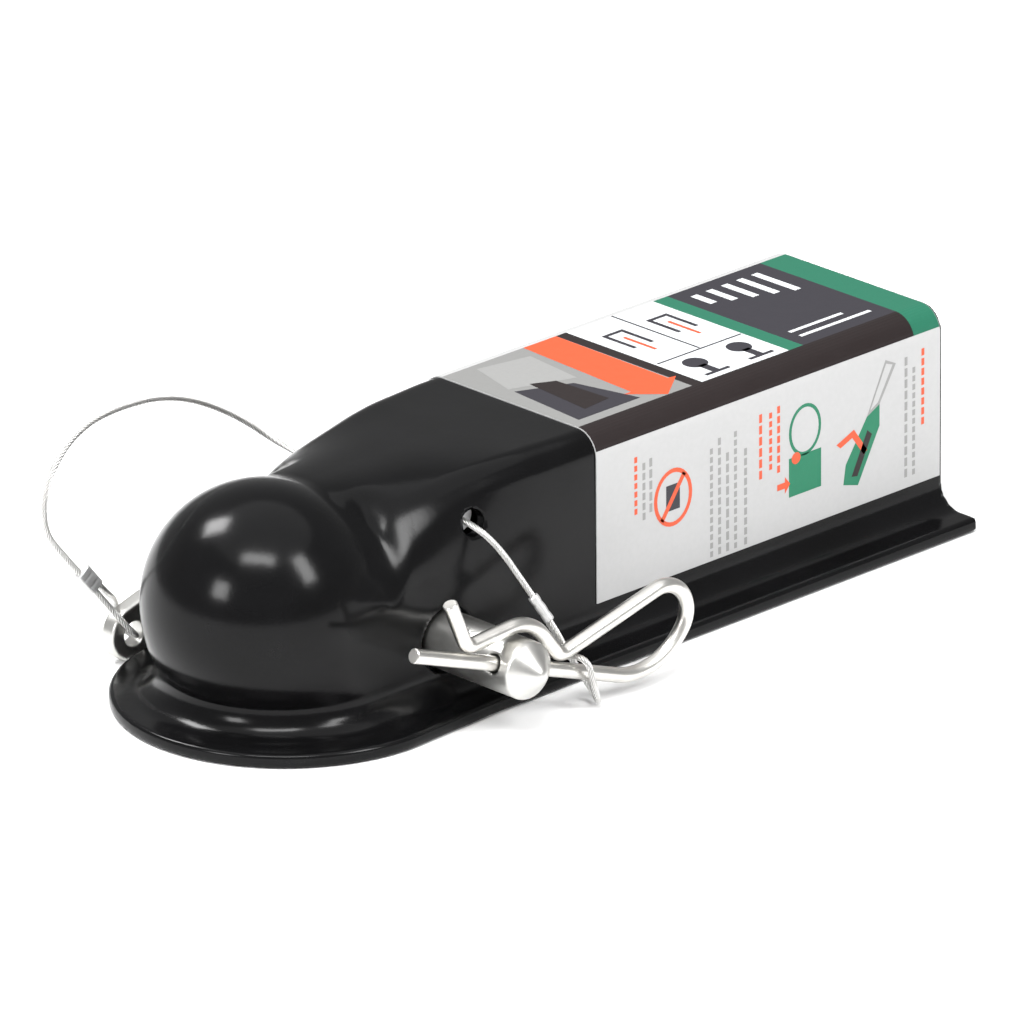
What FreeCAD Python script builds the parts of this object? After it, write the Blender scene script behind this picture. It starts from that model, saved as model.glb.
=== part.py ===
"""Straight-tongue trailer coupler with a pull-out locking pin, its spring clip and two wire lanyards.

Frame: origin at the centre of the seated tow ball, +X towards the trailer, +Z up.
The clip is on the -Y side and the pin's handle on the +Y side. Millimetres throughout.
"""
import FreeCAD, Part
import math
import os

Vector = FreeCAD.Vector

# Pressed steel shell
SHEET = 3.5
BALL_RADIUS = 25.4
BALL_CLEARANCE = 0.3
SHELL_REAR_X = 198.0
SHELL_TOP_Z = 27.2
SHELL_FOOT_Z = -27.5
SKIRT_RADIUS = 6.5
TOP_CORNER_RADIUS = 5.5
FLANGE_HALF_WIDTH = 41.2
FLANGE_NOSE_X = 8.1
FLANGE_NOSE_RADIUS = 42.8
FLANGE_TAPER_X = 34.0
CUT_MARGIN = 2.0

# Hood behind the dome: station, corner radius and how far the roof lies under the channel's
HOOD_STATIONS = (
    (6.0, 25.0, 1.4), (13.0, 23.6, 0.4), (20.0, 20.6, 0.1),
    (30.5, 16.4, 0.0), (39.0, 12.6, 0.0), (49.0, 8.0, 0.0),
)
HOOD_NOSE_NARROWING = 0.9
HOOD_END_X = 60.0

# Holes in the two side walls
PIN_HOLE_CLEARANCE = 0.8
LANYARD_HOLE_RADIUS = 3.2
LANYARD_HOLE_X = 42.3
LANYARD_HOLE_Z = 15.1
BOLT_HOLE_RADIUS = 6.75
BOLT_FIRST_X = 105.0
BOLT_SPACING = 76.2
BOLT_Z = -2.0

# Printed card label wrapped over the channel
LABEL_THICKNESS = 0.3
LABEL_FRONT_X = 80.5
LABEL_REAR_SETBACK = 1.1
LABEL_FOOT_Z = -15.8

# Locking pin
PIN_RADIUS = 7.15
PIN_BALL_GAP = 0.85
PIN_DROP_ANGLE = 18.8
PIN_SHAFT_END_Y = -56.6
PIN_CONE_LENGTH = 5.3
PIN_NOSE_RADIUS = 1.4
HANDLE_DROP_ANGLE = 16.3
HANDLE_REACH = 34.8
HANDLE_BEND_RADIUS = 11.0
TAB_THICKNESS = 4.5
TAB_FLANGE_GAP = 0.4
TAB_END_RADIUS = 6.9
TAB_FLAT_START = 21.0
TAB_TAPER_START = 13.0
EYE_RADIUS = 3.0

# Spring clip, laid out in its own plane: S along the straight leg, N across it
CLIP_WIRE_RADIUS = 1.85
CLIP_HOLE_CLEARANCE = 0.5
CLIP_Y = -51.6
CLIP_TILT = 19.3
CLIP_YAW = 3.8
CLIP_TIP_S = -32.4
CLIP_LOOP_S = 33.3
CLIP_LOOP_RADIUS = 17.8
CLIP_LOOP_TURN = 75.4
CLIP_CROWN_RADIUS = 7.6
CLIP_HUMP_RISE = 2.5
CLIP_HUMP_N = PIN_RADIUS + CLIP_WIRE_RADIUS + CLIP_HUMP_RISE
CLIP_BENDS = ((13.5, 3.3, 3.0), (1.1, CLIP_HUMP_N, 11.0), (-16.4, 3.2, 2.5), (-25.2, 13.1, 0.0))

# Wire rope lanyards: points measured from the hole in the wall, then from the pin's axis
ROPE_RADIUS = 0.8
ROPE_STRAND_GAP = 0.1
CRIMP_LENGTH = 7.0
CRIMP_WALL = 0.5
STOP_RADIUS = 4.0
STOP_LENGTH = 4.4
STOP_WALL_GAP = 1.8
ARC_SHARE = 0.45
PIN_ROPE_FROM_HOLE = (
    (0.0, -8.9, 0.0), (0.3, 7.3, 0.7), (-11.3, 14.8, 11.7), (-28.3, 16.8, 20.2), (-45.8, 17.3, 21.5),
)
PIN_ROPE_FROM_PIN = (
    (-48.12, 1.05, 44.96), (-57.42, 1.05, 35.76), (-59.42, 0.85, 23.26), (-52.22, 0.45, 13.96),
    (-41.22, 0.05, 0.56), (-37.42, -4.55, -6.64), (-33.72, -4.15, -10.24), (-32.92, 4.55, -9.74),
    (-32.02, 5.75, -3.64), (-39.92, 0.15, 1.66), (-46.72, 0.25, 9.96),
)
PIN_CRIMP_OFFSET = 6.0
CLIP_ROPE_FROM_HOLE = ((-1.5, 9.0, 1.1), (-1.1, 1.0, 0.3), (1.3, -5.4, -4.5), (3.1, -11.4, -12.1))
CLIP_ROPE_FROM_PIN = (
    (17.28, 4.2, 3.36), (18.98, 1.4, -3.04), (19.68, -4.8, -3.14), (20.58, -5.6, -9.64),
    (23.58, -4.2, -15.24), (26.18, -0.2, -15.04), (24.18, 2.8, -9.44), (21.18, 5.0, -3.04),
    (17.48, 5.5, 3.16), (15.88, 9.3, 8.86),
)
CLIP_CRIMP_OFFSET = 4.0

# Sizes worked out from the ones above
DOME_INNER = BALL_RADIUS + BALL_CLEARANCE
DOME_OUTER = DOME_INNER + SHEET
CHANNEL_INNER = DOME_INNER
CHANNEL_OUTER = DOME_OUTER
SKIRT_CENTRE_Z = SHELL_FOOT_Z + SHEET + SKIRT_RADIUS
PIN_REACH = BALL_RADIUS + PIN_BALL_GAP + PIN_RADIUS
PIN_X = PIN_REACH * math.cos(math.radians(PIN_DROP_ANGLE))
PIN_Z = -PIN_REACH * math.sin(math.radians(PIN_DROP_ANGLE))
TAB_NEAR_Y = FLANGE_NOSE_RADIUS + TAB_FLANGE_GAP
HANDLE_Y = TAB_NEAR_Y + TAB_THICKNESS / 2
ROPE_PITCH = 2 * ROPE_RADIUS + ROPE_STRAND_GAP


def closed_face(edges):
    return Part.Face(Part.Wire(edges))


def polygon_face(points):
    return Part.Face(Part.makePolygon(points + points[:1]))


def arc_through(start, middle, end):
    return Part.Arc(start, middle, end).toShape()


def plan_outline(z, half_width, nose_x, rear_x):
    """Plan of the shell at one height: two straight walls closed by a half circle at the nose."""
    left_front = Vector(nose_x, half_width, z)
    right_front = Vector(nose_x, -half_width, z)
    left_rear = Vector(rear_x, half_width, z)
    right_rear = Vector(rear_x, -half_width, z)
    nose = arc_through(right_front, Vector(nose_x - half_width, 0, z), left_front)
    left = Part.makeLine(left_front, left_rear)
    rear = Part.makeLine(left_rear, right_rear)
    right = Part.makeLine(right_rear, right_front)
    return Part.Wire([nose, left, rear, right])


def lower_solid(inset, rear_x):
    """Lower half of the shell with its flared skirt; the nose tucks in under the ball."""
    half_width = CHANNEL_OUTER - inset
    ball = DOME_OUTER - inset
    skirt = SKIRT_RADIUS + inset
    outlines = []
    for share in (0.0, 0.3, 0.55, 0.8, 1.0):
        z = SKIRT_CENTRE_Z * share
        outlines.append(plan_outline(z, half_width, half_width - math.sqrt(ball ** 2 - z ** 2), rear_x))
    nose_x = half_width - math.sqrt(ball ** 2 - SKIRT_CENTRE_Z ** 2)
    for degrees in (30, 55, 75):
        turn = math.radians(degrees)
        z = SKIRT_CENTRE_Z - skirt * math.sin(turn)
        outlines.append(plan_outline(z, half_width + skirt * (1 - math.cos(turn)), nose_x, rear_x))
    foot_z = SHELL_FOOT_Z + SHEET / 2
    foot_width = half_width + skirt
    if inset:
        foot_z = SHELL_FOOT_Z - SHEET / 5
        foot_width = half_width + 0.95 * skirt
    outlines.append(plan_outline(foot_z, foot_width, nose_x, rear_x))
    return Part.makeLoft(outlines, True, True)


def hood_section(x, inset, narrowing, corner, roof_drop):
    """Upright section of the hood: side walls, rounded shoulders and a flat roof."""
    half_width = CHANNEL_OUTER - narrowing - inset
    top = SHELL_TOP_Z - roof_drop - inset
    corner = corner - inset
    shoulder = corner * math.sqrt(0.5)
    left = [
        Vector(x, half_width, 0), Vector(x, half_width, top - corner), Vector(x, half_width - corner, top),
    ]
    right = [Vector(p.x, -p.y, p.z) for p in left]
    left_mid = Vector(x, half_width - corner + shoulder, top - corner + shoulder)
    right_mid = Vector(x, -left_mid.y, left_mid.z)
    return Part.Wire([
        Part.makeLine(left[0], left[1]), arc_through(left[1], left_mid, left[2]),
        Part.makeLine(left[2], right[2]), arc_through(right[2], right_mid, right[1]),
        Part.makeLine(right[1], right[0]), Part.makeLine(right[0], left[0]),
    ])


def upper_solid(inset, rear_x):
    """Hood that grows from the dome into the square channel, and the channel itself."""
    sections = []
    for number, (x, corner, roof_drop) in enumerate(HOOD_STATIONS):
        narrowing = HOOD_NOSE_NARROWING if number == 0 else 0.0
        sections.append(hood_section(x, inset, narrowing, corner, roof_drop))
    channel_section = hood_section(HOOD_END_X, inset, 0.0, TOP_CORNER_RADIUS, 0.0)
    sections.append(channel_section)
    hood = Part.makeLoft(sections, True, True)
    channel = Part.Face(channel_section).extrude(Vector(rear_x - HOOD_END_X, 0, 0))
    return hood.fuse(channel)


def dome(radius):
    return Part.makeSphere(radius, Vector(0, 0, 0), Vector(0, 0, 1), 0, 90, 360)


def flange_plate():
    nose_z = SHELL_FOOT_Z
    left_nose = Vector(FLANGE_NOSE_X, FLANGE_NOSE_RADIUS, nose_z)
    right_nose = Vector(FLANGE_NOSE_X, -FLANGE_NOSE_RADIUS, nose_z)
    tip = Vector(FLANGE_NOSE_X - FLANGE_NOSE_RADIUS, 0, nose_z)
    corners = [
        left_nose, Vector(FLANGE_TAPER_X, FLANGE_HALF_WIDTH, nose_z),
        Vector(SHELL_REAR_X, FLANGE_HALF_WIDTH, nose_z), Vector(SHELL_REAR_X, -FLANGE_HALF_WIDTH, nose_z),
        Vector(FLANGE_TAPER_X, -FLANGE_HALF_WIDTH, nose_z), right_nose,
    ]
    edges = [Part.makeLine(a, b) for a, b in zip(corners, corners[1:])]
    edges.append(arc_through(right_nose, tip, left_nose))
    return closed_face(edges).extrude(Vector(0, 0, SHEET))


def cross_hole(x, z, radius):
    """Cutter for one hole through both side walls."""
    reach = CHANNEL_OUTER + CUT_MARGIN
    return Part.makeCylinder(radius, 2 * reach, Vector(x, -reach, z), Vector(0, 1, 0))


def coupler_body():
    outside = dome(DOME_OUTER)
    for piece in (lower_solid(0.0, SHELL_REAR_X), upper_solid(0.0, SHELL_REAR_X), flange_plate()):
        outside = outside.fuse(piece)
    open_rear = SHELL_REAR_X + CUT_MARGIN
    inside = dome(DOME_INNER)
    for piece in (lower_solid(SHEET, open_rear), upper_solid(SHEET, open_rear)):
        inside = inside.fuse(piece)
    shell = outside.cut(inside)
    shell = shell.cut(cross_hole(PIN_X, PIN_Z, PIN_RADIUS + PIN_HOLE_CLEARANCE))
    shell = shell.cut(cross_hole(LANYARD_HOLE_X, LANYARD_HOLE_Z, LANYARD_HOLE_RADIUS))
    for number in range(2):
        shell = shell.cut(cross_hole(BOLT_FIRST_X + number * BOLT_SPACING, BOLT_Z, BOLT_HOLE_RADIUS))
    return shell


def printed_label():
    """Thin card saddle that lies on the channel's roof and both side walls."""
    length = SHELL_REAR_X - LABEL_REAR_SETBACK - LABEL_FRONT_X
    skins = []
    for growth in (LABEL_THICKNESS, 0.0):
        section = hood_section(LABEL_FRONT_X, -growth, 0.0, TOP_CORNER_RADIUS, 0.0)
        upper = Part.Face(section).extrude(Vector(length, 0, 0))
        width = 2 * (CHANNEL_OUTER + growth)
        depth = -LABEL_FOOT_Z + (0.0 if growth else CUT_MARGIN)
        corner = Vector(LABEL_FRONT_X, -width / 2, -depth)
        skins.append(upper.fuse(Part.makeBox(length, width, depth, corner)))
    return skins[0].cut(skins[1]).removeSplitter()


def handle_frame():
    """Direction of the pin's bent handle and the point where its centre line leaves the bend."""
    drop = math.radians(HANDLE_DROP_ANGLE)
    along = Vector(-math.cos(drop), 0, -math.sin(drop))
    corner = Vector(PIN_X, HANDLE_Y, PIN_Z)
    return along, corner


def locking_pin():
    along, corner = handle_frame()
    bend_start = Vector(PIN_X, HANDLE_Y - HANDLE_BEND_RADIUS, PIN_Z)
    bend_end = corner + along * HANDLE_BEND_RADIUS
    bend_centre = bend_start + along * HANDLE_BEND_RADIUS
    bend_middle = bend_centre + (corner - bend_centre).normalize() * HANDLE_BEND_RADIUS
    eye = corner + along * HANDLE_REACH
    shaft_end = Vector(PIN_X, PIN_SHAFT_END_Y, PIN_Z)
    path = Part.Wire([
        Part.makeLine(shaft_end, bend_start),
        arc_through(bend_start, bend_middle, bend_end),
        Part.makeLine(bend_end, eye),
    ])
    profile = Part.Wire([Part.makeCircle(PIN_RADIUS, shaft_end, Vector(0, 1, 0))])
    bar = path.makePipeShell([profile], True, False)
    across = along.cross(Vector(0, 1, 0))
    half = TAB_THICKNESS / 2
    block = PIN_RADIUS + CUT_MARGIN
    for side in (1, -1):
        outline = []
        for distance, offset in (
            (TAB_TAPER_START, block), (TAB_TAPER_START, PIN_RADIUS), (TAB_FLAT_START, half),
            (HANDLE_REACH + block, half), (HANDLE_REACH + block, block),
        ):
            point = corner + along * distance + Vector(0, side * offset, 0) - across * block
            outline.append(point)
        bar = bar.cut(polygon_face(outline).extrude(across * (2 * block)))
    tab_end = Part.makeCylinder(TAB_END_RADIUS, TAB_THICKNESS, eye - Vector(0, half, 0), Vector(0, 1, 0))
    cone = Part.makeCone(PIN_RADIUS, PIN_NOSE_RADIUS, PIN_CONE_LENGTH, shaft_end, Vector(0, -1, 0))
    pin = bar.fuse([tab_end, cone])
    eye_hole = Part.makeCylinder(
        EYE_RADIUS, TAB_THICKNESS + 2 * CUT_MARGIN, eye - Vector(0, half + CUT_MARGIN, 0), Vector(0, 1, 0)
    )
    leg, _, origin = clip_frame()
    clip_hole = Part.makeCylinder(
        CLIP_WIRE_RADIUS + CLIP_HOLE_CLEARANCE, 4 * PIN_RADIUS, origin - leg * (2 * PIN_RADIUS), leg
    )
    return pin.cut([eye_hole, clip_hole])


def clip_frame():
    """Directions S and N of the clip's plane, and its origin on the pin's axis."""
    tilt = math.radians(CLIP_TILT)
    yaw = math.radians(CLIP_YAW)
    level = Vector(math.cos(yaw), -math.sin(yaw), 0)
    leg = level * math.cos(tilt) - Vector(0, 0, math.sin(tilt))
    side = level * math.sin(tilt) + Vector(0, 0, math.cos(tilt))
    return leg, side, Vector(PIN_X, CLIP_Y, PIN_Z)


def rounded_edges(points, radii):
    """Straight runs joined by tangent arcs; one radius for each inner point."""
    edges = []
    start = points[0]
    for before, corner, after, radius in zip(points, points[1:], points[2:], radii):
        inward = (before - corner).normalize()
        outward = (after - corner).normalize()
        half_turn = (math.pi - inward.getAngle(outward)) / 2
        tangent = radius * math.tan(half_turn)
        bisector = (inward + outward).normalize()
        middle = corner + bisector * (radius / math.cos(half_turn) - radius)
        entry = corner + inward * tangent
        leave = corner + outward * tangent
        edges.append(Part.LineSegment(start, entry).toShape())
        edges.append(Part.Arc(entry, middle, leave).toShape())
        start = leave
    edges.append(Part.LineSegment(start, points[-1]).toShape())
    return edges


def tube(edges, radius):
    path = Part.Wire(edges)
    start = path.Edges[0].Vertexes[0].Point
    direction = path.Edges[0].tangentAt(path.Edges[0].FirstParameter)
    profile = Part.Wire([Part.makeCircle(radius, start, direction)])
    return path.makePipeShell([profile], True, False)


def hitch_clip():
    leg, side, origin = clip_frame()

    def at(s, n):
        return origin + leg * s + side * n

    def on_loop(degrees):
        turn = math.radians(degrees)
        s = CLIP_LOOP_S + CLIP_LOOP_RADIUS * math.sin(turn)
        return s, CLIP_LOOP_RADIUS * (1 - math.cos(turn))

    joint = math.radians(CLIP_LOOP_TURN)
    joint_s, joint_n = on_loop(CLIP_LOOP_TURN)
    crown_s = joint_s - CLIP_CROWN_RADIUS * math.sin(joint)
    crown_n = joint_n + CLIP_CROWN_RADIUS * math.cos(joint)
    neck_s, neck_n, _ = CLIP_BENDS[0]
    reach = math.hypot(crown_s - neck_s, crown_n - neck_n)
    rise = math.atan2(crown_n - neck_n, crown_s - neck_s) + math.asin(CLIP_CROWN_RADIUS / reach)

    def on_crown(turn):
        return at(crown_s + CLIP_CROWN_RADIUS * math.sin(turn), crown_n - CLIP_CROWN_RADIUS * math.cos(turn))

    crown_end = math.pi + rise
    edges = [
        Part.makeLine(at(CLIP_TIP_S, 0), at(*on_loop(0))),
        arc_through(at(*on_loop(0)), at(*on_loop(CLIP_LOOP_TURN / 2)), at(joint_s, joint_n)),
        arc_through(at(joint_s, joint_n), on_crown((joint + crown_end) / 2), on_crown(crown_end)),
    ]
    points = [on_crown(crown_end)] + [at(s, n) for s, n, _ in CLIP_BENDS]
    radii = [radius for _, _, radius in CLIP_BENDS[:-1]]
    return tube(edges + rounded_edges(points, radii), CLIP_WIRE_RADIUS)


def lanyard_route(side, plane_y, from_hole, from_pin):
    """All the points of one lanyard, from its hole's mouth and from the pin's axis at one plane."""
    hole = Vector(LANYARD_HOLE_X, side * CHANNEL_OUTER, LANYARD_HOLE_Z)
    axis = Vector(PIN_X, plane_y, PIN_Z)
    return [hole + Vector(*offset) for offset in from_hole] + [axis + Vector(*offset) for offset in from_pin]


def rope_radii(points):
    radii = []
    for before, corner, after in zip(points, points[1:], points[2:]):
        half_turn = (math.pi - (before - corner).getAngle(after - corner)) / 2
        shorter = min((before - corner).Length, (after - corner).Length)
        radii.append(ARC_SHARE * shorter / math.tan(half_turn))
    return radii


def rope(name, points):
    radii = rope_radii(points)
    edges = rounded_edges(points, radii)
    shape = tube(edges, ROPE_RADIUS)
    length = sum(edge.Length for edge in edges)
    expected = math.pi * ROPE_RADIUS ** 2 * length
    print(name, "arc radii", [round(radius, 1) for radius in radii])
    print(name, "length", round(length, 1), "volume share", round(shape.Volume / expected, 4))
    return shape


def crimp(offset, main_points, return_point, rope_shape):
    """Flattened sleeve pressed over the rope's run and its returning end, a distance along the run."""
    axis = (main_points[1] - main_points[0]).normalize()
    start = main_points[0] + axis * offset
    toward = return_point - main_points[1]
    across = (toward - axis * toward.dot(axis)).normalize()
    radius = ROPE_RADIUS + CRIMP_WALL
    sides = []
    for offset in (0.0, ROPE_PITCH):
        sides.append(Part.makeCylinder(radius, CRIMP_LENGTH, start + across * offset, axis))
    normal = axis.cross(across)
    corners = [
        start - normal * radius, start + normal * radius,
        start + normal * radius + across * ROPE_PITCH, start - normal * radius + across * ROPE_PITCH,
    ]
    web = polygon_face(corners).extrude(axis * CRIMP_LENGTH)
    return sides[0].fuse([sides[1], web]).cut(rope_shape)


def rope_stop(rope_end, side, rope_shape):
    """Round stop pressed on the rope's end inside the shell, too wide for the wall's hole."""
    centre = Vector(rope_end.x, side * (CHANNEL_INNER - STOP_WALL_GAP), rope_end.z)
    return Part.makeCylinder(STOP_RADIUS, STOP_LENGTH, centre, Vector(0, -side, 0)).cut(rope_shape)


def main():
    os.makedirs("parts", exist_ok=True)
    pin_route = lanyard_route(1, HANDLE_Y, PIN_ROPE_FROM_HOLE, PIN_ROPE_FROM_PIN)
    clip_route = lanyard_route(-1, CLIP_Y, CLIP_ROPE_FROM_HOLE, CLIP_ROPE_FROM_PIN)
    pin_rope = rope("pin rope", pin_route)
    clip_rope = rope("clip rope", clip_route)
    nodes = {
        "coupler_body": coupler_body(),
        "printed_label": printed_label(),
        "locking_pin": locking_pin(),
        "hitch_clip": hitch_clip(),
        "pin_lanyard_rope": pin_rope,
        "pin_lanyard_crimp": crimp(PIN_CRIMP_OFFSET, pin_route[8:10], pin_route[-2], pin_rope),
        "pin_lanyard_stop": rope_stop(pin_route[0], 1, pin_rope),
        "clip_lanyard_rope": clip_rope,
        "clip_lanyard_crimp": crimp(CLIP_CRIMP_OFFSET, clip_route[3:5], clip_route[-2], clip_rope),
        "clip_lanyard_stop": rope_stop(clip_route[0], -1, clip_rope),
    }
    for name, shape in nodes.items():
        if len(shape.Solids) != 1 or not shape.isValid():
            print("check", name, len(shape.Solids), "solids, valid", shape.isValid())
        shape.exportStep(f"parts/{name}.step")
        print(name, "volume", round(shape.Volume))


main()
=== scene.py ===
import math

import bmesh
import bpy
import numpy as np
from mathutils import Matrix, Vector


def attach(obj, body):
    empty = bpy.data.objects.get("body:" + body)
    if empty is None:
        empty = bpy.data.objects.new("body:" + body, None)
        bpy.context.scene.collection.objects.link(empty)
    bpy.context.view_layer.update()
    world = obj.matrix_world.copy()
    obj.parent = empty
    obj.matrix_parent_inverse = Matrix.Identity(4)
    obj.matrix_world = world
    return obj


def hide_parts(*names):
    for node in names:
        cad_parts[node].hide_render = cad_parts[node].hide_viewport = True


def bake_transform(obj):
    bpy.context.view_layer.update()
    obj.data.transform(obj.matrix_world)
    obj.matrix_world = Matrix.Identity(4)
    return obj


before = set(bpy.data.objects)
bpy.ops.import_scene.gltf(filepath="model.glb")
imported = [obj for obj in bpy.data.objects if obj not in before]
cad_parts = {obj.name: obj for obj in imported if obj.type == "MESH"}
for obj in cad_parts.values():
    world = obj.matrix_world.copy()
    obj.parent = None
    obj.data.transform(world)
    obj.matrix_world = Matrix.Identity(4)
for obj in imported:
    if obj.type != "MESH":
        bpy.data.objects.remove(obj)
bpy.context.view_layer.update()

MM = 0.001
V = Vector

# Sizes in millimetres, in the row frame
BALL_R = 29.2
SHEET = 3.5
FOOT_Z = -27.5
ROOF_Z = 27.2
REAR_X = 198.0
PIN_R = 7.15
PIN_REACH = 33.4
PIN_TURN = math.radians(18.8)
PIN_X = PIN_REACH * math.cos(PIN_TURN)
PIN_Z = -PIN_REACH * math.sin(PIN_TURN)
HOLE_X = 42.3
HOLE_Z = 15.1
HANDLE_Y = 45.45
CLIP_Y = -51.6
CLIP_R = 1.85
CLIP_HOLE_R = 2.35
CLIP_END_R = 1.62
CLIP_BEVEL = 0.25
PIN_HOLE_R = 7.95
LANYARD_HOLE_R = 3.2
BOLT_HOLE_R = 6.75
BOLT_XS = (105.0, 181.2)
BOLT_Z = -2.0
HANDLE_REACH = 34.8
HANDLE_BEND = 11.0
PIN_TIP_Y = -61.9
EYE_R = 3.0
HANDLE_TURN = math.radians(16.3)
LABEL_T = 0.3


# ---------------------------------------------------------------- distance fields and meshing
def round_min(a, b, r):
    return np.maximum(r, np.minimum(a, b)) - np.hypot(np.maximum(r - a, 0), np.maximum(r - b, 0))


def round_max(a, b, r):
    return -round_min(-a, -b, r)


def soft_min(a, b, k):
    h = np.clip(0.5 + 0.5 * (b - a) / k, 0, 1)
    return b * (1 - h) + a * h - k * h * (1 - h)


FINE_X = np.arange(-60.0, 260.0, 0.25)
KERNEL = np.exp(-(np.arange(-48, 49) * 0.25 / 3.5) ** 2)


def along_x(x, stations, values):
    """Values given at stations along the shell, joined by straight lines and then smoothed."""
    padded = np.pad(np.interp(FINE_X, stations, values), 48, mode="edge")
    return np.interp(x, FINE_X, np.convolve(padded, KERNEL / KERNEL.sum(), "valid"))


def smooth_step(value, low, high):
    t = np.clip((value - low) / (high - low), 0, 1)
    return t * t * (3 - 2 * t)


def skin(x, y, z):
    """Outer face of the pressing without its flange: dome, side walls and hood."""
    zl = np.clip(z, -17.5, 0.0)
    tuck = BALL_R - np.sqrt(BALL_R ** 2 - zl ** 2)
    ay = np.sqrt(y ** 2 + 0.5)
    lower = np.hypot(np.minimum(x - tuck, 0), ay) - BALL_R
    dome = np.sqrt(x ** 2 + ay ** 2 + z ** 2) - BALL_R

    lean = along_x(
        x, (0, 20, 31, 43, 50, 60, 75, 200), (0.0342, 0.0342, 0.02, 0.0147, 0.01, 0.0043, 0.0005, 0.0002)
    )
    zp = np.maximum(z, 0)
    side = ay - BALL_R + lean * zp ** 2 / 2 + lean ** 3 * zp ** 4 / 8
    drop = along_x(
        x, (4, 8, 11.5, 15.5, 21, 26, 31.4, 37, 43, 50, 58, 200),
        (0.0043, 0.0034, 0.0027, 0.0022, 0.0017, 0.00127, 0.00090, 0.00058, 0.00030, 0.0001, 0.0, 0.0),
    )
    crown = along_x(x, (2, 8, 11.6, 16, 24, 34, 45, 200), (24.2, 26.0, 26.75, 27.0, 27.05, 27.1, 27.2, 27.2))
    height = crown - drop * ay ** 2.7
    fill = along_x(x, (0, 6, 12, 16, 20), (12, 10, 8, 6.5, 5))
    height = -soft_min(-height, -fill, 3.0)
    height = height - 2.2 * np.exp(-((x - 17.5) / 4.0) ** 2) * smooth_step(ay, 10.0, 18.0)
    slope = np.clip(2.7 * drop * ay ** 1.7, 0, 2.5)
    roof = (z - height) / np.sqrt(1 + slope ** 2)
    edge = along_x(x, (0, 18, 30, 45, 62, 200), (1.5, 2.2, 3.4, 4.6, 6.0, 6.0))
    hood = round_max(side, roof, edge)
    hood = np.maximum(hood, -x)
    blend = np.interp(z, (3.0, 8.0, 14.0, 30.0), (0.3, 3.5, 1.6, 1.0)) * np.clip((x - 4.0) / 8.0, 0.08, 1.0)
    upper = soft_min(dome, hood, blend)
    return np.where(z < 0, lower, upper)


def plate_outline(x, y):
    nose = np.hypot(x - 8.1, y) - 42.8
    width = np.interp(x, (8.1, 34.0, 200.0), (42.8, 41.2, 41.2))
    sides = np.abs(y) - width
    return np.where(x < 8.1, nose, sides)


def shell(x, y, z):
    body = skin(x, y, z)
    plan = plate_outline(x, y)
    thick = np.abs(z - (FOOT_Z + SHEET / 2)) - SHEET / 2
    plate = round_max(plan, thick, 1.1)
    outer = round_min(body, plate, 6.5)
    hollow = 0.7 * np.exp(-((z - 3.0) / 4.5) ** 2 - ((x - 26.0) / 9.0) ** 2)
    outer = outer + hollow * smooth_step(np.abs(y), 15.0, 25.0)
    inner = round_min(body + SHEET, z - FOOT_Z, 9.0)
    metal = np.maximum(outer, -inner)
    metal = round_max(metal, FOOT_Z - z, 0.4)
    metal = round_max(metal, x - REAR_X, 0.5)
    holes = [(PIN_X, PIN_Z, PIN_HOLE_R), (HOLE_X, HOLE_Z, LANYARD_HOLE_R)]
    holes += [(bolt_x, BOLT_Z, BOLT_HOLE_R) for bolt_x in BOLT_XS]
    for hx, hz, r in holes:
        hole = np.hypot(x - hx, z - hz) - r
        metal = round_max(metal, -hole, 0.5)
    return metal


def handle_axes():
    along = np.array((-math.cos(HANDLE_TURN), 0.0, -math.sin(HANDLE_TURN)))
    across = np.array((-along[2], 0.0, along[0]))
    return along, across


def pin_field(x, y, z):
    """Bent round bar with a cone at one end and a flattened eye at the other."""
    along, across = handle_axes()
    u = (x - PIN_X) * along[0] + (z - PIN_Z) * along[2]
    w = (x - PIN_X) * across[0] + (z - PIN_Z) * across[2]
    bend = HANDLE_BEND
    shaft = np.hypot(np.hypot(u, w), np.maximum(y - (HANDLE_Y - bend), 0))
    ring = np.hypot(np.hypot(u - bend, y - (HANDLE_Y - bend)) - bend, w)
    in_ring = (u < bend) & (y > HANDLE_Y - bend)
    arm = np.hypot(y - HANDLE_Y, w)
    centre = np.where(in_ring, ring, np.where(u >= bend, arm, shaft))
    centre = np.where(y < HANDLE_Y - bend - 6, np.hypot(u, w), centre)
    bar = centre - PIN_R
    half = np.interp(u, (12.0, 14.5, 20.5, 23.0), (7.2, 6.4, 2.65, 2.25))
    flat = np.abs(y - HANDLE_Y) - half
    flat = np.where(u > 9, flat, -1.0)
    paddle = np.where(u > HANDLE_REACH, np.hypot(u - HANDLE_REACH, w), np.abs(w)) - 6.95
    handle = round_max(np.where(u > 21, paddle, bar), flat, 0.9)
    bar = np.where(u > 12, handle, bar)
    cone = (np.hypot(u, w) - (1.0 + (y - PIN_TIP_Y) * 1.16)) * 0.66
    bar = np.where(y < 0, round_max(bar, cone, 0.5), bar)
    bar = np.where(y < 0, round_max(bar, PIN_TIP_Y - y, 0.7), bar)
    eye = np.hypot(u - HANDLE_REACH, w) - EYE_R
    bar = np.where(u > 25, round_max(bar, -eye, 0.6), bar)
    leg, side, origin = clip_axes()
    px, py, pz = x - origin[0], y - origin[1], z - origin[2]
    on_leg = px * leg[0] + py * leg[1] + pz * leg[2]
    radial = np.sqrt(np.maximum(px ** 2 + py ** 2 + pz ** 2 - on_leg ** 2, 0)) - CLIP_HOLE_R
    return np.where(y < -30, round_max(bar, -radial, 0.5), bar)


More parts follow.
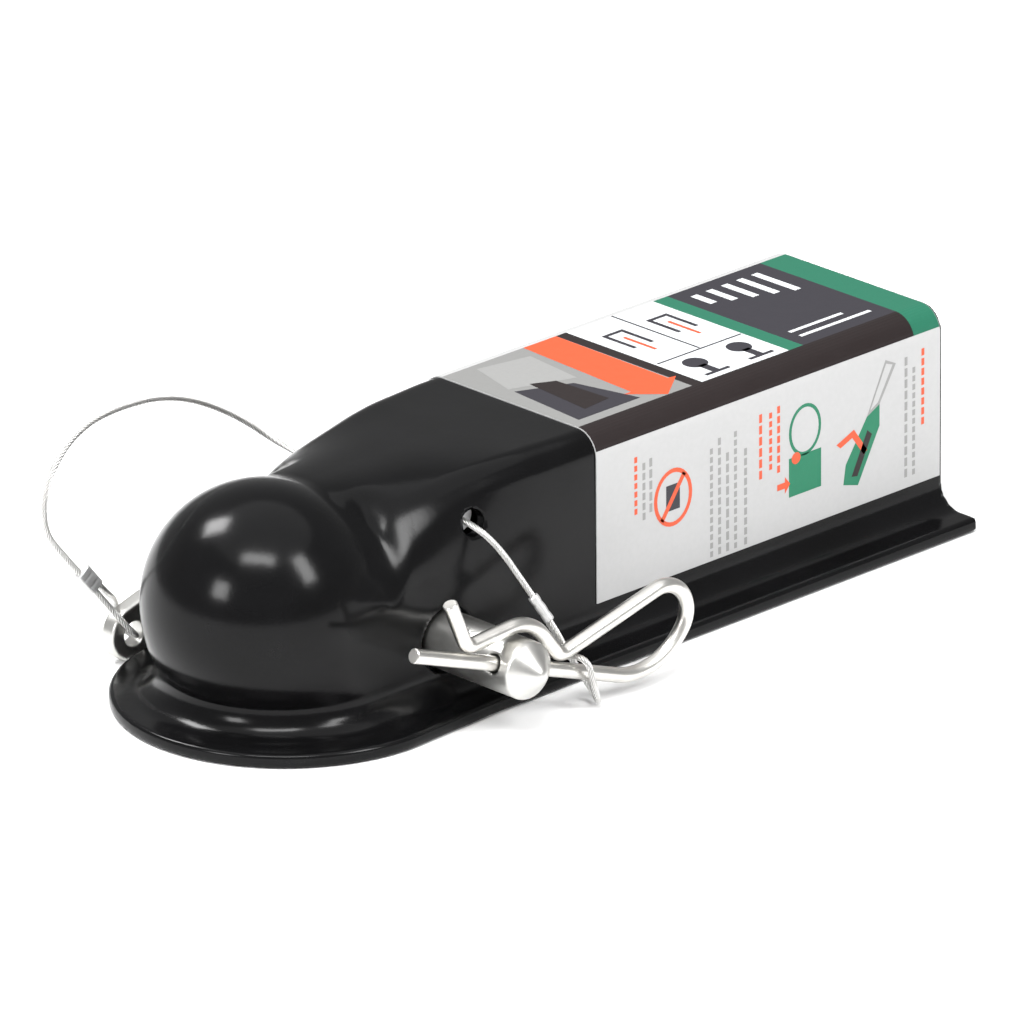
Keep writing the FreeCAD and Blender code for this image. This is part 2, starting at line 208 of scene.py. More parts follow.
def clip_axes():
    tilt = math.radians(19.3)
    yaw = math.radians(3.8)
    level = np.array((math.cos(yaw), -math.sin(yaw), 0.0))
    up = np.array((0.0, 0.0, 1.0))
    leg = level * math.cos(tilt) - up * math.sin(tilt)
    side = level * math.sin(tilt) + up * math.cos(tilt)
    return leg, side, np.array((PIN_X, CLIP_Y, PIN_Z))


def surface(field, low, high, step):
    """Mesh of a distance field's zero surface: vertices, quads and unit normals, in millimetres."""
    axes = [np.arange(a, b + step, step) for a, b in zip(low, high)]
    x, y, z = np.meshgrid(*axes, indexing="ij", sparse=True)
    values = field(x, y, z) + 0 * (x + y + z)
    solid = values < 0
    shape = np.array(solid.shape) - 1
    count = np.zeros(shape, int)
    for i in (0, 1):
        for j in (0, 1):
            for k in (0, 1):
                count += solid[i:i + shape[0], j:j + shape[1], k:k + shape[2]]
    active = (count > 0) & (count < 8)
    index = -np.ones(shape, int)
    index[active] = np.arange(active.sum())
    cells = np.argwhere(active)
    points = np.array(low) + (cells + 0.5) * step
    quads = []
    for axis in range(3):
        first = [slice(1, -1)] * 3
        second = [slice(1, -1)] * 3
        first[axis] = slice(0, -1)
        second[axis] = slice(1, None)
        a, b = solid[tuple(first)], solid[tuple(second)]
        where = np.argwhere(a != b)
        offset = np.array([1, 1, 1])
        offset[axis] = 0
        base = where + offset
        falling = a[tuple(where.T)]
        m, n = (axis + 1) % 3, (axis + 2) % 3
        ring = []
        for dm, dn in ((-1, -1), (0, -1), (0, 0), (-1, 0)):
            cell = base.copy()
            cell[:, m] += dm
            cell[:, n] += dn
            ring.append(index[tuple(cell.T)])
        ring = np.stack(ring, 1)
        ring[~falling] = ring[~falling][:, ::-1]
        quads.append(ring)
    quads = np.concatenate(quads)

    def gradient(p, eps):
        g = np.empty_like(p)
        for c in range(3):
            d = np.zeros(3)
            d[c] = eps
            g[:, c] = (field(*(p + d).T) - field(*(p - d).T)) / (2 * eps)
        return g

    for _ in range(4):
        g = gradient(points, 0.06)
        f = field(*points.T)
        size = np.maximum((g ** 2).sum(1), 0.2)
        move = -g * (f / size)[:, None]
        length = np.linalg.norm(move, axis=1)
        move *= np.minimum(1, 0.5 * step / np.maximum(length, 1e-9))[:, None]
        points = points + move
    g = gradient(points, 0.12)
    normals = g / np.maximum(np.linalg.norm(g, axis=1), 1e-9)[:, None]
    return points, quads, normals


def mesh_object(name, points, faces, normals=None, smooth=True):
    mesh = bpy.data.meshes.new(name)
    mesh.from_pydata((np.asarray(points) * MM).tolist(), [], [list(map(int, f)) for f in faces])
    mesh.update()
    if smooth:
        mesh.polygons.foreach_set("use_smooth", [True] * len(mesh.polygons))
    if normals is not None:
        mesh.normals_split_custom_set_from_vertices(np.asarray(normals).tolist())
    obj = bpy.data.objects.new(name, mesh)
    bpy.context.collection.objects.link(obj)
    return obj


def field_object(name, field, low, high, step):
    points, quads, normals = surface(field, low, high, step)
    return mesh_object(name, points, quads, normals)


# ---------------------------------------------------------------- swept wires
def frames_along(points):
    """Tangent, side and up vectors that turn as little as they can along a line."""
    p = np.asarray(points, float)
    t = np.gradient(p, axis=0)
    t /= np.linalg.norm(t, axis=1)[:, None]
    side = np.cross(t[0], (0.3, 0.5, 0.81))
    side /= np.linalg.norm(side)
    sides = []
    for tangent in t:
        side = side - tangent * side.dot(tangent)
        side /= np.linalg.norm(side)
        sides.append(side)
    sides = np.array(sides)
    return t, sides, np.cross(t, sides)


def sweep(points, radii, segments, capped=True):
    p = np.asarray(points, float)
    _, side, up = frames_along(p)
    turn = np.linspace(0, 2 * math.pi, segments, endpoint=False)
    ring = side[:, None] * np.cos(turn)[None, :, None] + up[:, None] * np.sin(turn)[None, :, None]
    verts = (p[:, None] + ring * np.asarray(radii)[:, None, None]).reshape(-1, 3)
    faces = []
    for i in range(len(p) - 1):
        for j in range(segments):
            k = (j + 1) % segments
            a, b = i * segments, (i + 1) * segments
            faces.append((a + j, a + k, b + k, b + j))
    if capped:
        faces.append(tuple(reversed(range(segments))))
        faces.append(tuple(range((len(p) - 1) * segments, len(p) * segments)))
    return verts, faces


def even(points, step):
    p = np.asarray(points, float)
    s = np.concatenate(([0], np.cumsum(np.linalg.norm(np.diff(p, axis=0), axis=1))))
    n = max(2, int(s[-1] / step) + 1)
    at = np.linspace(0, s[-1], n)
    return np.stack([np.interp(at, s, p[:, c]) for c in range(3)], 1)


def clip_line():
    """Centre line of the clip in its plane, as (s, n) pairs."""
    loop_s, loop_r, joint = 33.3, 17.8, math.radians(75.4)
    crown_r, end_turn = 7.6, math.radians(215.5)
    line = [(-32.4, 0.0), (loop_s, 0.0)]
    for a in np.linspace(0, joint, 30)[1:]:
        line.append((loop_s + loop_r * math.sin(a), loop_r * (1 - math.cos(a))))
    centre_s = line[-1][0] - crown_r * math.sin(joint)
    centre_n = line[-1][1] + crown_r * math.cos(joint)
    for a in np.linspace(joint, end_turn, 40)[1:]:
        line.append((centre_s + crown_r * math.sin(a), centre_n - crown_r * math.cos(a)))
    corners = [line[-1], (13.5, 3.3), (1.1, 11.5), (-16.4, 3.2), (-25.2, 13.1)]
    for b, c, r in zip(corners[1:], corners[2:], (3.0, 11.0, 2.5)):
        a, b, c = np.array(line[-1]), np.array(b), np.array(c)
        d, e = (a - b) / np.linalg.norm(a - b), (c - b) / np.linalg.norm(c - b)
        half = (math.pi - math.acos(float(d @ e))) / 2
        start, stop = b + d * r * math.tan(half), b + e * r * math.tan(half)
        centre = b + (d + e) / np.linalg.norm(d + e) * r / math.cos(half)
        v0, v1 = start - centre, stop - centre
        sweep_angle = math.atan2(v0[0] * v1[1] - v0[1] * v1[0], float(v0 @ v1))
        for q in np.linspace(0, 1, 14):
            g = q * sweep_angle
            line.append(tuple(centre + (v0[0] * math.cos(g) - v0[1] * math.sin(g),
                                        v0[0] * math.sin(g) + v0[1] * math.cos(g))))
    line.append(corners[-1])
    return line


# ---------------------------------------------------------------- materials
def new_material(name):
    material = bpy.data.materials.new(name)
    material.use_nodes = True
    tree = material.node_tree
    return material, tree, tree.nodes["Principled BSDF"]


def add(tree, kind, **inputs):
    node = tree.nodes.new(kind)
    for key, value in inputs.items():
        node.inputs[key.replace("_", " ")].default_value = value
    return node


def object_coordinates(tree):
    return tree.nodes.new("ShaderNodeTexCoord").outputs["Object"]


def noise(tree, scale, detail=3.0, rough=0.5, stretch=None):
    node = add(tree, "ShaderNodeTexNoise", Scale=scale, Detail=detail, Roughness=rough)
    source = object_coordinates(tree)
    if stretch:
        mapping = tree.nodes.new("ShaderNodeMapping")
        mapping.inputs["Scale"].default_value = stretch
        tree.links.new(source, mapping.inputs["Vector"])
        source = mapping.outputs["Vector"]
    tree.links.new(source, node.inputs["Vector"])
    return node.outputs["Fac"]


def ramp(tree, source, stops):
    node = tree.nodes.new("ShaderNodeValToRGB")
    elements = node.color_ramp.elements
    while len(elements) < len(stops):
        elements.new(0.5)
    for element, (place, colour) in zip(elements, stops):
        element.position = place
        element.color = (*colour, 1.0) if len(colour) == 3 else colour
    tree.links.new(source, node.inputs["Fac"])
    return node.outputs["Color"]


def levels(tree, source, low, high):
    node = tree.nodes.new("ShaderNodeMapRange")
    node.inputs["To Min"].default_value = low
    node.inputs["To Max"].default_value = high
    tree.links.new(source, node.inputs["Value"])
    return node.outputs["Result"]


def bump(tree, source, shader, strength, distance):
    node = tree.nodes.new("ShaderNodeBump")
    node.inputs["Strength"].default_value = strength
    node.inputs["Distance"].default_value = distance
    tree.links.new(source, node.inputs["Height"])
    tree.links.new(node.outputs["Normal"], shader.inputs["Normal"])
    return node


def black_paint():
    material, tree, shader = new_material("black_powder_coat")
    tones = ((0.3, (0.0030, 0.0030, 0.0032)), (0.75, (0.0046, 0.0046, 0.005)))
    colour = ramp(tree, noise(tree, 70, 4), tones)
    tree.links.new(colour, shader.inputs["Base Color"])
    tree.links.new(levels(tree, noise(tree, 110, 3), 0.15, 0.21), shader.inputs["Roughness"])
    shader.inputs["Specular IOR Level"].default_value = 0.15
    bump(tree, noise(tree, 420, 2), shader, 0.05, 0.0004)
    return material


def zinc(name, tone, low, high, grain, metallic=1.0):
    material, tree, shader = new_material(name)
    dark = tuple(c * 0.86 for c in tone)
    colour = ramp(tree, noise(tree, 180, 4), ((0.3, dark), (0.7, tone)))
    tree.links.new(colour, shader.inputs["Base Color"])
    shader.inputs["Metallic"].default_value = metallic
    tree.links.new(levels(tree, noise(tree, 260, 4, 0.6, grain), low, high), shader.inputs["Roughness"])
    bump(tree, noise(tree, 900, 3, 0.6, grain), shader, 0.10, 0.0002)
    return material


def print_ink(name, colour, roughness=0.42):
    material, tree, shader = new_material(name)
    dark = tuple(c * 0.975 for c in colour)
    tone = ramp(tree, noise(tree, 900, 2), ((0.35, dark), (0.65, colour)))
    tree.links.new(tone, shader.inputs["Base Color"])
    gloss = levels(tree, noise(tree, 220, 3), roughness - 0.05, roughness + 0.06)
    tree.links.new(gloss, shader.inputs["Roughness"])
    shader.inputs["Specular IOR Level"].default_value = 0.3
    bump(tree, noise(tree, 1500, 3), shader, 0.04, 0.0001)
    return material


PAINT = black_paint()
PIN_STEEL = zinc("zinc_plated_bar", (0.66, 0.655, 0.63), 0.28, 0.42, (1.0, 0.25, 1.0))
CLIP_STEEL = zinc("zinc_plated_wire", (0.74, 0.725, 0.69), 0.24, 0.36, (1.0, 1.0, 1.0))
ROPE_STEEL = zinc("galvanised_wire", (0.70, 0.695, 0.68), 0.24, 0.36, (1.0, 1.0, 1.0), 0.85)
CRIMP_ALLOY = zinc("pressed_aluminium", (0.70, 0.70, 0.70), 0.34, 0.48, (1.0, 1.0, 1.0), 0.6)
INK = {
    "card": print_ink("card_grey", (0.45, 0.45, 0.45), 0.5),
    "white": print_ink("card_white", (0.62, 0.64, 0.65)),
    "charcoal": print_ink("ink_charcoal", (0.028, 0.026, 0.033)),
    "green": print_ink("ink_green", (0.016, 0.135, 0.080)),
    "bright": print_ink("ink_bright_green", (0.010, 0.165, 0.085)),
    "orange": print_ink("ink_orange", (0.62, 0.085, 0.030)),
    "grey": print_ink("ink_grey", (0.22, 0.22, 0.215)),
    "mid": print_ink("ink_mid_grey", (0.27, 0.27, 0.265)),
    "dark": print_ink("ink_dark", (0.014, 0.009, 0.009)),
}


# ---------------------------------------------------------------- steel parts
body = field_object("coupler_shell", shell, (-36.0, -44.6, -29.0), (200.0, 44.6, 31.0), 0.9)
body.data.materials.append(PAINT)
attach(body, "coupler")
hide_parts("coupler_body")

pin = field_object("bent_locking_pin", pin_field, (-11.5, -63.0, -29.0), (40.5, 54.5, -2.5), 0.55)
pin.data.materials.append(PIN_STEEL)
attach(pin, "pin")
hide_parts("locking_pin")


def build_clip():
    leg, side, origin = clip_axes()
    flat = even([(s, n, 0.0) for s, n in clip_line()], 0.7)
    line = origin + flat[:, :1] * leg + flat[:, 1:2] * side
    first, last = line[0] - line[1], line[-1] - line[-2]
    first /= np.linalg.norm(first)
    last /= np.linalg.norm(last)
    start, stop = [line[0], line[0] - first * CLIP_BEVEL], [line[-1] - last * CLIP_BEVEL, line[-1]]
    line = np.concatenate((start, line[1:-1], stop))
    radii = np.full(len(line), CLIP_R)
    radii[0] = radii[-1] = CLIP_END_R
    verts, faces = sweep(line, radii, 28)
    return mesh_object("spring_clip_wire", verts, faces)


def sharpen(obj, degrees):
    mesh = obj.data
    edit = bmesh.new()
    edit.from_mesh(mesh)
    for edge in edit.edges:
        if len(edge.link_faces) == 2 and edge.calc_face_angle() > math.radians(degrees):
            edge.smooth = False
    edit.to_mesh(mesh)
    edit.free()


clip = build_clip()
sharpen(clip, 35)
clip.data.materials.append(CLIP_STEEL)
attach(clip, "clip")
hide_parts("hitch_clip")


# ---------------------------------------------------------------- wire rope lanyards
# Points of each lanyard: measured from the mouth of its hole, then from the pin's axis
PIN_ROPE_FROM_HOLE = (
    (0.0, -8.9, 0.0), (0.3, 7.3, 0.7), (-11.3, 14.8, 11.7), (-28.3, 16.8, 20.2), (-45.8, 17.3, 21.5),
)
PIN_ROPE_FROM_PIN = (
    (-48.12, 1.05, 44.96), (-57.42, 1.05, 35.76), (-59.42, 0.85, 23.26), (-52.22, 0.45, 13.96),
    (-41.22, 0.05, 0.56), (-37.42, -4.55, -6.64), (-33.72, -4.15, -10.24), (-32.92, 4.55, -9.74),
    (-32.02, 5.75, -3.64), (-39.92, 0.15, 1.66), (-46.72, 0.25, 9.96),
)
CLIP_ROPE_FROM_HOLE = ((-1.5, 9.0, 1.1), (-1.1, 1.0, 0.3), (1.3, -5.4, -4.5), (3.1, -11.4, -12.1))
CLIP_ROPE_FROM_PIN = (
    (17.28, 4.2, 3.36), (18.98, 1.4, -3.04), (19.68, -4.8, -3.14), (20.58, -5.6, -9.64),
    (23.58, -4.2, -15.24), (26.18, -0.2, -15.04), (24.18, 2.8, -9.44), (21.18, 5.0, -3.04),
    (17.48, 5.5, 3.16), (15.88, 9.3, 8.86),
)


def lanyard_route(side, plane_y, from_hole, from_pin):
    """All the points of one lanyard, in millimetres."""
    hole = np.array((HOLE_X, side * BALL_R, HOLE_Z))
    axis = np.array((PIN_X, plane_y, PIN_Z))
    return [hole + offset for offset in from_hole] + [axis + offset for offset in from_pin]


def rope_line(name, route):
    """Evenly spaced points of the smooth line that the route's points control, in millimetres."""
    curve = bpy.data.curves.new(name, "CURVE")
    curve.dimensions = "3D"
    curve.resolution_u = 24
    spline = curve.splines.new("NURBS")
    spline.points.add(len(route) - 1)
    for point, place in zip(spline.points, route):
        point.co = (*map(float, place), 1.0)
    spline.order_u = 3
    spline.use_endpoint_u = True
    holder = bpy.data.objects.new(name, curve)
    bpy.context.collection.objects.link(holder)
    mesh = bpy.data.meshes.new_from_object(holder)
    points = np.array([v.co[:] for v in mesh.vertices])
    bpy.data.objects.remove(holder)
    bpy.data.curves.remove(curve)
    bpy.data.meshes.remove(mesh)
    return even(points, 0.32)


def build_rope(name, route):
    line = rope_line(name + "_line", route)
    _, side, up = frames_along(line)
    s = np.concatenate(([0], np.cumsum(np.linalg.norm(np.diff(line, axis=0), axis=1))))
    verts, faces = [], []

    def strand(points, radius, segments):
        v, f = sweep(points, np.full(len(points), radius), segments)
        start = sum(len(part) for part in verts)
        verts.append(v)
        faces.extend(tuple(i + start for i in face) for face in f)

    strand(line, 0.26, 8)
    for number in range(6):
        turn = 2 * math.pi * (s / 6.4 + number / 6)
        offset = side * np.cos(turn)[:, None] + up * np.sin(turn)[:, None]
        strand(line + offset * 0.55, 0.25, 8)
    rope = mesh_object(name, np.concatenate(verts), faces)
    rope.data.materials.append(ROPE_STEEL)
    return rope, line, s[-1]


def build_crimp(name, run, offset, across, length=7.0):
    """Pressed oval sleeve on a straight run of rope, with rolled ends and two shallow press marks."""
    axis = (run[1] - run[0]) / np.linalg.norm(run[1] - run[0])
    start = run[0] + axis * offset
    wide = np.array(across, float)
    wide -= axis * wide.dot(axis)
    wide /= np.linalg.norm(wide)
    thin = np.cross(axis, wide)
    centre = start + wide * 0.85
    turn = np.linspace(0, 2 * math.pi, 36, endpoint=False)
    cos, sin = np.cos(turn), np.sin(turn)
    outline_w = np.sign(cos) * np.abs(cos) ** 0.55
    outline_t = np.sign(sin) * np.abs(sin) ** 0.7
    stations = [(0.0, 0.82), (0.06, 0.93), (0.3, 1.0)]
    stations += [(0.3 + 0.1 * i, 1.0) for i in range(1, int((length - 0.6) * 10))]
    stations += [(length - 0.3, 1.0), (length - 0.06, 0.93), (length, 0.82)]
    verts, faces = [], []
    for place, scale in stations:
        dent = 0.14 * sum(math.exp(-((place - at * length) / 0.45) ** 2) for at in (0.3, 0.7))
        for w, t in zip(outline_w, outline_t):
            verts.append(centre + axis * place + wide * w * 2.15 * scale + thin * t * (1.3 * scale - dent))
    n = len(turn)
    for i in range(len(stations) - 1):
        for j in range(n):
            k = (j + 1) % n
            faces.append((i * n + j, i * n + k, (i + 1) * n + k, (i + 1) * n + j))
    faces.append(tuple(reversed(range(n))))
    faces.append(tuple(range((len(stations) - 1) * n, len(stations) * n)))
    crimp = mesh_object(name, verts, faces)
    sharpen(crimp, 50)
    crimp.data.materials.append(CRIMP_ALLOY)
    return crimp


PIN_ROUTE = lanyard_route(1, HANDLE_Y, PIN_ROPE_FROM_HOLE, PIN_ROPE_FROM_PIN)
CLIP_ROUTE = lanyard_route(-1, CLIP_Y, CLIP_ROPE_FROM_HOLE, CLIP_ROPE_FROM_PIN)

pin_rope, pin_line, pin_length = build_rope("pin_wire_rope", PIN_ROUTE)
V((36.0, 40.0, 20.0)) * MM
V((-22.0, 46.0, 8.0)) * MM
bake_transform(pin_rope)
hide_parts("pin_lanyard_rope")
clip_rope, clip_line_points, clip_length = build_rope("clip_wire_rope", CLIP_ROUTE)
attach(clip_rope, "coupler")
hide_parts("clip_lanyard_rope")

pin_crimp = build_crimp("pin_rope_sleeve", PIN_ROUTE[8:10], 6.0, (0.77, 0.0, 0.63))
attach(pin_crimp, "pin")
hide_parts("pin_lanyard_crimp")
clip_crimp = build_crimp("clip_rope_sleeve", CLIP_ROUTE[3:5], 4.0, (0.65, 0.63, -0.42))
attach(clip_crimp, "coupler")
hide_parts("clip_lanyard_crimp")

for node in ("pin_lanyard_stop", "clip_lanyard_stop"):
    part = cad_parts[node]
    part.data.materials.clear()
    part.data.materials.append(CRIMP_ALLOY)


# ---------------------------------------------------------------- printed card
LABEL_FRONT = 80.5
LABEL_REAR = 196.9
LABEL_FOOT = -15.8
CORNER_R = 6.0


def card_profile(growth):
    """Half outlines of the card across the channel, from the near foot over the roof to the far foot."""
    w, t, r = BALL_R + growth, ROOF_Z + growth, CORNER_R + growth
    near = [(-w, z) for z in np.linspace(LABEL_FOOT, t - r, 14)]
    quarter = np.linspace(0, math.pi / 2, 14)[1:]
    near += [(-w + r - r * math.cos(a), t - r + r * math.sin(a)) for a in quarter]
    middle = [(y, t) for y in np.linspace(-w + r, w - r, 18)[1:-1]]
    return near + middle + [(-y, z) for y, z in reversed(near)]


def build_card():
    outer, inner = card_profile(LABEL_T), card_profile(0.02)
    loop = outer + inner[::-1]
    stations = np.linspace(LABEL_FRONT, LABEL_REAR, 24)
    verts = [(x, y, z) for x in stations for y, z in loop]
    n = len(loop)
    faces = []
    for i in range(len(stations) - 1):
        for j in range(n):
            k = (j + 1) % n
            faces.append((i * n + j, i * n + k, (i + 1) * n + k, (i + 1) * n + j))
    half = len(outer)
    for base, flip in ((0, False), ((len(stations) - 1) * n, True)):
        for j in range(half - 1):
            face = (base + j, base + n - 1 - j, base + n - 2 - j, base + j + 1)
            faces.append(face[::-1] if flip else face)
    card = mesh_object("printed_card", verts, faces)
    edit = bmesh.new()
    edit.from_mesh(card.data)
    bmesh.ops.recalc_face_normals(edit, faces=edit.faces)
    edit.to_mesh(card.data)
    edit.free()
    sharpen(card, 40)
    card.data.materials.append(INK["card"])
    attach(card, "coupler")
    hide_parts("printed_label")
    return card


card = build_card()


def on_roof(points, layer):
    return [(x, y, ROOF_Z + LABEL_T + 0.02 * layer) for x, y in points]


def on_near(points, layer):
    return [(x, -(BALL_R + LABEL_T + 0.02 * layer), z) for x, z in points]


def on_far(points, layer):
    return [(x, BALL_R + LABEL_T + 0.02 * layer, z) for x, z in points][::-1]


def over_corner(x0, x1, reach, layer):
    """Strip of print that follows the card's rounded edge from the roof a little way down the near side."""
    grow = LABEL_T + 0.02 * layer
    w, t, r = BALL_R + grow, ROOF_Z + grow, CORNER_R + grow
    turn = np.linspace(math.pi / 2, math.pi / 2 - reach, 10)
    line = [(-w + r - r * math.cos(a), t - r + r * math.sin(a)) for a in turn]
    verts = [(x, y, z) for x in (x0, x1) for y, z in line]
    n = len(line)
    return verts, [(i, i + 1, n + i + 1, n + i) for i in range(n - 1)]


PRINTS = {}


def ink(colour, points, layer=1, place=on_roof):
    verts, faces = PRINTS.setdefault(colour, ([], []))
    start = len(verts)
    verts.extend(place(points, layer))
    faces.append(tuple(range(start, start + len(points))))


def box_points(x0, y0, x1, y1):
    return [(x0, y0), (x1, y0), (x1, y1), (x0, y1)]


def disc(cx, cy, rx, ry=None, count=32):
    ry = rx if ry is None else ry
    turn = np.linspace(0, 2 * math.pi, count, endpoint=False)
    return [(cx + rx * math.cos(a), cy + ry * math.sin(a)) for a in turn]


def ring_ink(colour, cx, cy, rx, ry, width, layer, place):
    verts, faces = PRINTS.setdefault(colour, ([], []))
    outside, inside = disc(cx, cy, rx, ry), disc(cx, cy, rx - width, ry - width)
    start = len(verts)
    verts.extend(place(outside, layer))
    verts.extend(place(inside, layer))
    n = len(outside)
    for i in range(n):
        k = (i + 1) % n
        faces.append((start + i, start + k, start + n + k, start + n + i))


def strip_over_corner(colour, x0, x1, reach, layer=1):
    verts, faces = PRINTS.setdefault(colour, ([], []))
    start = len(verts)
    more, quads = over_corner(x0, x1, reach, layer)
    verts.extend(more)
    faces.extend(tuple(i + start for i in quad) for quad in quads)


ROOF_EDGE = BALL_R - CORNER_R
# Roof: picture area with an arrow, white table, bands
ink("grey", box_points(LABEL_FRONT + 0.1, -ROOF_EDGE, 118.6, ROOF_EDGE), 1)
ink("dark", box_points(118.6, -ROOF_EDGE, 122.0, ROOF_EDGE), 1)
ink("white", box_points(122.0, -ROOF_EDGE, 151.4, ROOF_EDGE), 1)
ink("green", box_points(151.4, -ROOF_EDGE, 156.2, ROOF_EDGE), 1)
ink("charcoal", box_points(156.2, -ROOF_EDGE, 188.0, ROOF_EDGE), 1)
ink("green", box_points(188.0, -ROOF_EDGE, LABEL_REAR - 0.1, ROOF_EDGE), 1)
ink("charcoal", box_points(137.1, -6.8, 137.7, ROOF_EDGE), 2)
ink("charcoal", box_points(122.7, -7.6, 151.0, -7.0), 2)
ink("orange", [(118.5, 23.1), (107.6, 23.1), (105.5, -15.8), (103.2, -15.8), (110.7, -23.1), (120.4, -16.0),
               (118.1, -15.6)], 3)
ink("charcoal", [(84.0, -20.0), (104.5, -20.0), (100.0, -2.0), (86.0, 4.0)], 2)
ink("mid", [(86.0, 6.0), (103.0, 0.0), (105.0, 18.0), (90.0, 21.0)], 2)
ink("dark", [(90.0, -16.0), (99.0, -15.0), (98.0, 2.0), (92.0, 5.0)], 3)
# Table icons: a channel section with an arrow, and a ball on its shank
for x0 in (126.0, 141.0):
    ink("charcoal", box_points(x0, 14.0, x0 + 7.0, 15.2), 2)
    ink("charcoal", box_points(x0, 4.0, x0 + 1.2, 14.0), 2)
    ink("charcoal", box_points(x0 + 5.8, 4.0, x0 + 7.0, 14.0), 2)
    ink("orange", box_points(x0 + 3.0, 0.0, x0 + 4.0, 11.0), 3)
for x0 in (129.8, 144.6):
    ink("charcoal", disc(x0, -13.0, 3.2), 2)
    ink("charcoal", box_points(x0 - 1.2, -20.0, x0 + 1.2, -15.0), 2)
    ink("charcoal", box_points(x0 - 4.0, -21.2, x0 + 4.0, -20.0), 2)
for number in range(5):
    ink("white", box_points(160.0 + number * 5.2, 12.0 - number * 2.0, 162.2 + number * 5.2, 19.0), 2)
ink("white", box_points(160.0, -19.0, 184.0, -17.8), 2)
ink("white", box_points(160.0, -15.4, 178.0, -14.2), 2)
# Rounded near edge of the card
strip_over_corner("dark", LABEL_FRONT + 0.1, 188.0, math.radians(75))
strip_over_corner("green", 188.0, LABEL_REAR - 0.1, math.radians(75))


def side_print(place):
    """Side panels: ruled columns, a barred ring, a green section mark and a small block drawing."""
    for column, (x, low, high, colour) in enumerate((
        (93.0, 3.3, 18.7, "orange"), (95.7, 1.2, 16.7, "mid"), (98.0, 2.6, 17.3, "mid"),
        (118.3, -14.8, 15.0, "mid"), (121.0, -14.8, 16.1, "mid"), (123.7, -14.8, 13.5, "mid"),
        (126.4, -14.8, 16.1, "mid"), (129.8, -14.8, 12.0, "mid"),
        (134.9, 0.5, 19.9, "orange"), (138.3, 2.0, 18.0, "orange"), (141.0, 0.5, 19.9, "orange"),
        (184.6, -13.0, 19.0, "mid"), (187.3, -13.0, 16.0, "mid"), (190.4, -0.8, 19.8, "orange"),
    )):
        z = low
        step = 1.5 + 0.35 * (column % 3)
        while z + step < high:
            ink(colour, box_points(x, z, x + 1.0, z + step), 1, place)
            z += step + 0.7
    ring_ink("orange", 105.9, 4.3, 6.4, 7.4, 1.1, 2, place)
    ink("orange", [(101.6, -0.6), (102.6, -1.4), (110.2, 9.2), (109.2, 10.0)], 2, place)
    ink("charcoal", box_points(103.6, 1.0, 108.2, 7.6), 1, place)
    ink("bright", box_points(145.0, -7.0, 156.0, 3.0), 1, place)
    ring_ink("bright", 150.5, 9.2, 5.5, 6.6, 0.9, 1, place)
    ink("card", disc(150.5, 9.2, 4.6, 5.7), 2, place)
    ink("orange", disc(147.4, 2.6, 1.5), 3, place)
    ink("orange", [(141.0, -4.2), (143.6, -4.2), (143.6, -5.6), (145.4, -3.4), (143.6, -1.2), (143.6, -2.6),
                   (141.0, -2.6)], 2, place)
    ink("bright", [(163.6, -9.0), (168.6, -10.4), (176.0, 3.0), (176.0, 8.6), (171.6, 6.4),
                   (164.4, -4.0)], 1, place)
    ink("mid", [(171.6, 6.4), (176.0, 8.6), (181.6, 17.6), (178.0, 19.4)], 1, place)
    ink("card", [(172.8, 7.8), (175.4, 9.2), (180.4, 17.6), (178.2, 18.4)], 2, place)
    ink("dark", [(166.4, -7.6), (168.4, -8.0), (173.4, 1.6), (171.8, 3.0)], 2, place)
    ink("orange", [(161.2, 2.0), (162.6, 0.8), (166.6, 2.4), (170.6, -3.0), (171.8, -2.0),
                   (167.2, 4.4)], 2, place)

side_print(on_near)
side_print(on_far)

for colour, (verts, faces) in PRINTS.items():
    layer = mesh_object("print_" + colour, verts, faces, smooth=False)
    edit = bmesh.new()
    edit.from_mesh(layer.data)
    for face in edit.faces:
        middle = face.calc_center_median()
        outward = V((0.0, middle.y * 4, 0.06 if middle.z > 0.0265 else 0.0))
        if face.normal.dot(V((0, 0, 1))) < -0.5 or abs(face.normal.z) < 0.5 and face.normal.dot(outward) < 0:
            face.normal_flip()
    edit.to_mesh(layer.data)
    edit.free()
    layer.data.materials.append(INK[colour])
    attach(layer, "coupler")


# ---------------------------------------------------------------- floor, camera, light
def floor_material():
    material, tree, shader = new_material("floor_white")
    colour = ramp(tree, noise(tree, 6, 2), ((0.3, (0.90, 0.90, 0.90)), (0.7, (0.93, 0.93, 0.93))))
    tree.links.new(colour, shader.inputs["Base Color"])
    shader.inputs["Roughness"].default_value = 0.9
    shader.inputs["Specular IOR Level"].default_value = 0.1
    return material


FLOOR_HALF = 6000
FLOOR_Z = FOOT_Z - 0.1
FLOOR_SIGNS = ((-1, -1), (1, -1), (1, 1), (-1, 1))
floor_points = [(i * FLOOR_HALF, j * FLOOR_HALF, FLOOR_Z) for i, j in FLOOR_SIGNS]
floor = mesh_object("floor", floor_points, [(0, 1, 2, 3)], smooth=False)
floor.data.materials.append(floor_material())

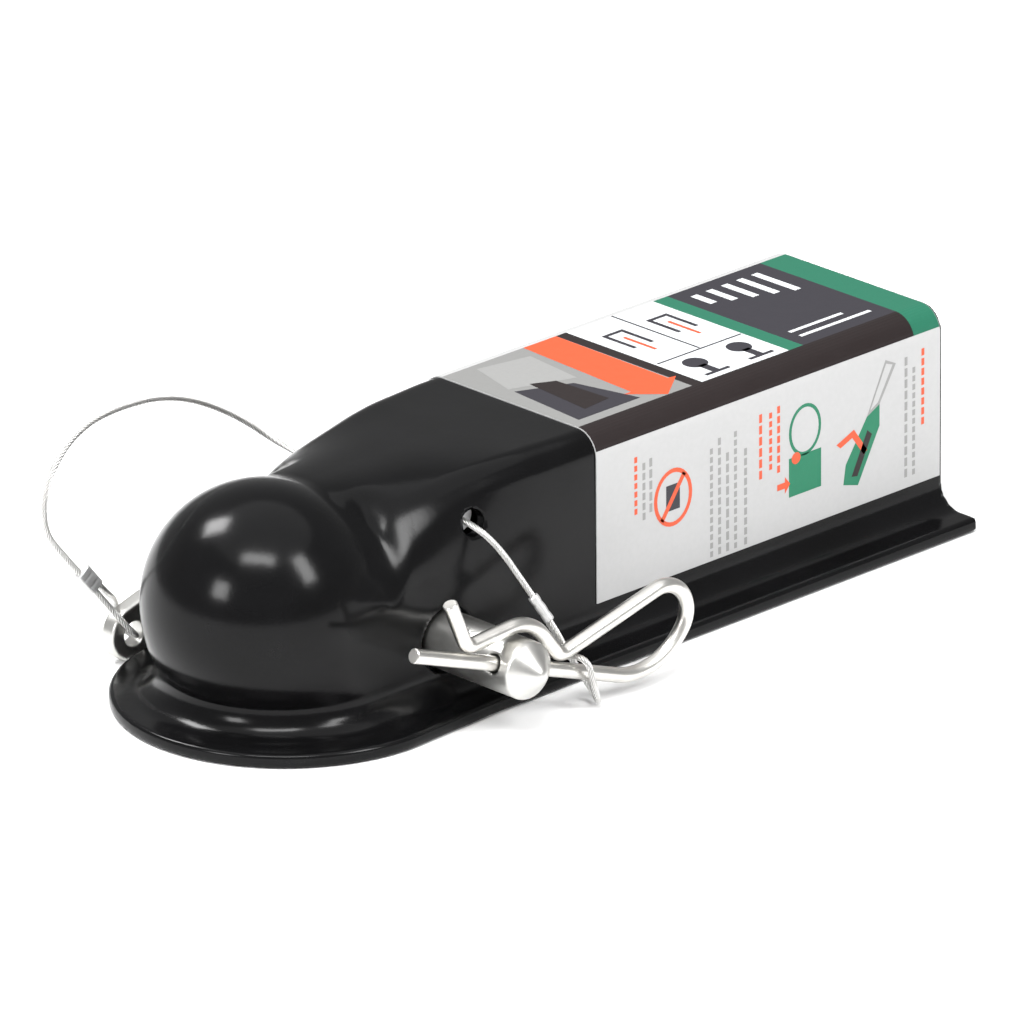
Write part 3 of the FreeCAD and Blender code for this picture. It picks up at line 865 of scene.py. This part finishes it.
CAMERA_AT = V((-2061.6, -2221.0, 1237.3)) * MM
CAMERA_TO = V((81.93, 0.855, -1.28)) * MM
CAMERA_ROLL = math.radians(-0.453)
forward = (CAMERA_TO - CAMERA_AT).normalized()
level_right = forward.cross(V((0, 0, 1))).normalized()
level_up = level_right.cross(forward)
right = level_right * math.cos(CAMERA_ROLL) + level_up * math.sin(CAMERA_ROLL)
up = level_up * math.cos(CAMERA_ROLL) - level_right * math.sin(CAMERA_ROLL)

camera_data = bpy.data.cameras.new("camera")
camera_data.sensor_width = 36.0
camera_data.lens = 490.6
camera_data.clip_start = 0.1
camera_data.clip_end = 50.0
camera = bpy.data.objects.new("camera", camera_data)
bpy.context.collection.objects.link(camera)
rotation = Matrix((right, up, -forward)).transposed().to_4x4()
camera.matrix_world = Matrix.Translation(CAMERA_AT) @ rotation
bpy.context.scene.camera = camera


def soft_box(name, direction, distance, width, height, power):
    """Rectangular light aimed at the object from a direction given as right, up and towards the camera."""
    d = (right * direction[0] + up * direction[1] - forward * direction[2]).normalized()
    data = bpy.data.lights.new(name, "AREA")
    data.shape = "RECTANGLE"
    data.size = width
    data.size_y = height
    data.energy = power
    obj = bpy.data.objects.new(name, data)
    bpy.context.collection.objects.link(obj)
    at = V((0.05, 0.0, 0.0)) + d * distance
    obj.matrix_world = Matrix.Translation(at) @ d.to_track_quat("Z", "Y").to_matrix().to_4x4()
    return obj


SOFT_BOXES = (
    ("box_left_high", (-0.56, 0.83, 0.05), 1.3, 0.32, 0.38, 12),
    ("box_top_wide", (-0.09, 0.61, 0.79), 1.5, 0.75, 0.24, 13),
    ("box_right_tall", (0.58, 0.45, 0.68), 1.5, 0.32, 0.66, 14),
    ("box_left_low", (-0.63, 0.14, 0.76), 1.4, 0.32, 0.34, 7),
)
for settings in SOFT_BOXES:
    soft_box(*settings)

overhead_data = bpy.data.lights.new("overhead", "SUN")
overhead_data.energy = 1.05
overhead_data.angle = math.radians(75)
overhead = bpy.data.objects.new("overhead", overhead_data)
bpy.context.collection.objects.link(overhead)

world = bpy.data.worlds.new("studio")
world.use_nodes = True
world.node_tree.nodes["Background"].inputs["Color"].default_value = (1.0, 1.0, 1.0, 1.0)
world.node_tree.nodes["Background"].inputs["Strength"].default_value = 0.38
bpy.context.scene.world = world
bpy.context.scene.view_settings.view_transform = "Standard"
